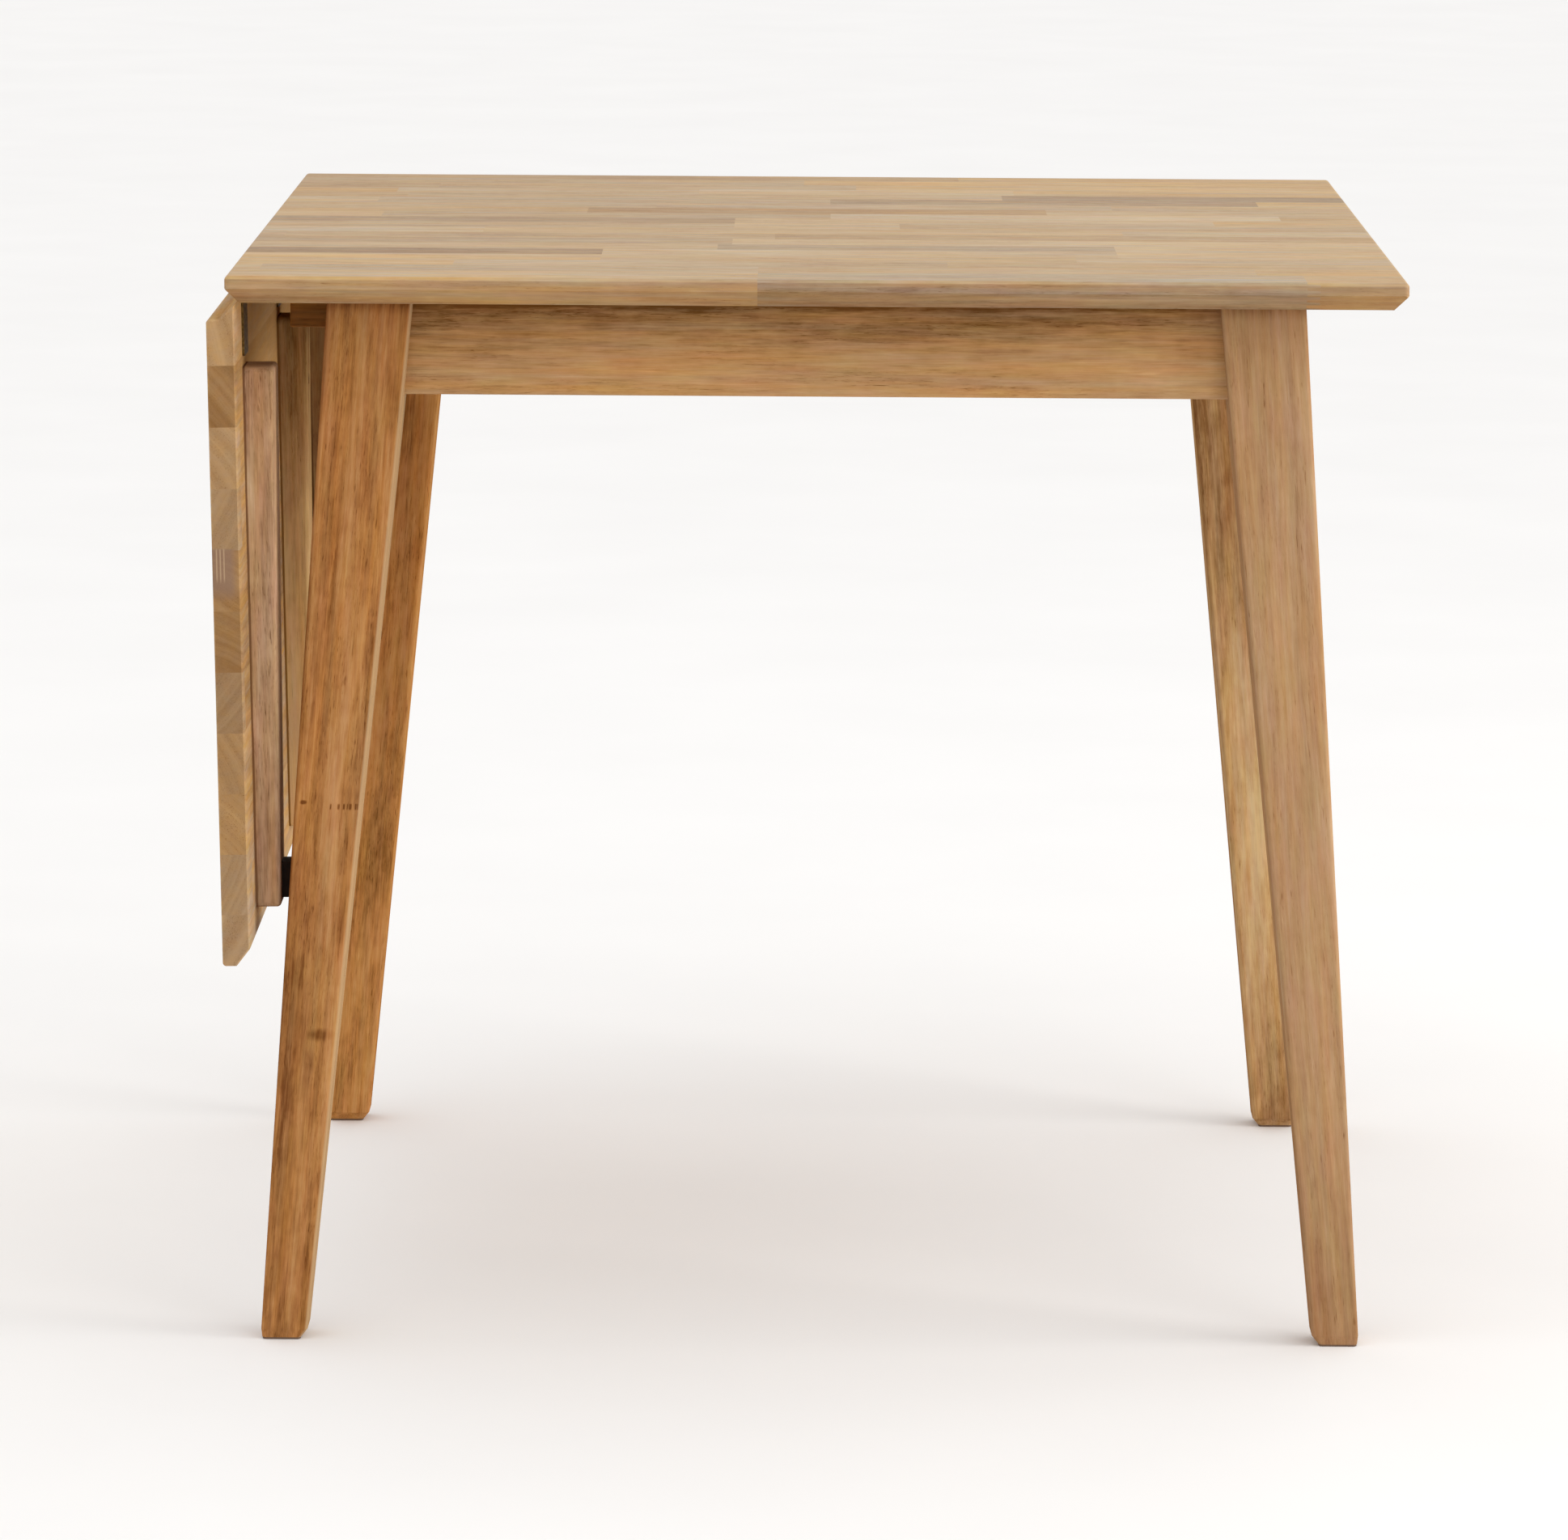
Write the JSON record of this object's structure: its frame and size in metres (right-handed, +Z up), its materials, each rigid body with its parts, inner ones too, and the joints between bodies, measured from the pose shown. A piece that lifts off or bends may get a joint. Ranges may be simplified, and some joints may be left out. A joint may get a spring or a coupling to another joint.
{
  "type": "drop leaf table",
  "caption": "Square oak dining table with splayed tapered legs and one hinged drop leaf hanging at its left side.",
  "frame": {"origin": "on the floor, under the middle of the whole table as it stands with its leaf hanging", "axes": "+X from the hanging leaf towards the fixed side, +Y along the hinge line towards the rear, +Z up"},
  "size_m": [0.8124, 0.8, 0.745],
  "materials": {
    "oak_lacquered": "satin lacquered solid oak staves",
    "zinc_steel": "zinc plated",
    "rubber_black": "matte",
    "glide_plastic": "matte brown"
  },
  "bodies": {
    "frame": {"tabletop": "oak_lacquered", "leg_front_left": "oak_lacquered", "leg_front_right": "oak_lacquered", "leg_rear_left": "oak_lacquered", "leg_rear_right": "oak_lacquered", "apron_front": "oak_lacquered", "apron_rear": "oak_lacquered", "apron_left": "oak_lacquered", "apron_right": "oak_lacquered", "brace_front_left": "oak_lacquered", "brace_front_right": "oak_lacquered", "brace_rear_left": "oak_lacquered", "brace_rear_right": "oak_lacquered", "hanger_bolts": "zinc_steel", "hanger_washers": "zinc_steel", "hanger_nuts": "zinc_steel", "apron_dowels": "oak_lacquered", "top_brackets": "zinc_steel", "bracket_screws": "zinc_steel", "guide_front_outer": "oak_lacquered", "guide_front_inner": "oak_lacquered", "guide_rear_outer": "oak_lacquered", "guide_rear_inner": "oak_lacquered", "guide_screws": "zinc_steel", "foot_glides": "glide_plastic", "hinge_front_table_wing": "zinc_steel", "hinge_middle_table_wing": "zinc_steel", "hinge_rear_table_wing": "zinc_steel", "hinge_front_pin": "zinc_steel", "hinge_middle_pin": "zinc_steel", "hinge_rear_pin": "zinc_steel", "hinge_screws_table": "zinc_steel"},
    "leaf": {"leaf_panel": "oak_lacquered", "batten_front": "oak_lacquered", "batten_middle": "oak_lacquered", "batten_rear": "oak_lacquered", "batten_screws": "zinc_steel", "bumper_front": "rubber_black", "bumper_rear": "rubber_black", "hinge_front_leaf_wing": "zinc_steel", "hinge_middle_leaf_wing": "zinc_steel", "hinge_rear_leaf_wing": "zinc_steel", "hinge_screws_leaf": "zinc_steel"},
    "bearer_front": {"bearer_front": "oak_lacquered", "stop_pin_front": "oak_lacquered"},
    "bearer_rear": {"bearer_rear": "oak_lacquered", "stop_pin_rear": "oak_lacquered"}
  },
  "joints": [
    {"name": "leaf_lift", "type": "hinge", "parent": "frame", "child": "leaf", "pos_m": [-0.38581, 0, 0.7244], "axis": [0, 1, 0], "range_deg": [0, 91.1]},
    {"name": "bearer_front_pull", "type": "slide", "parent": "frame", "child": "bearer_front", "axis": [-1, 0, 0], "range_m": [0, 0.018]},
    {"name": "bearer_rear_pull", "type": "slide", "parent": "frame", "child": "bearer_rear", "axis": [-1, 0, 0], "range_m": [0, 0.018]}
  ]
}
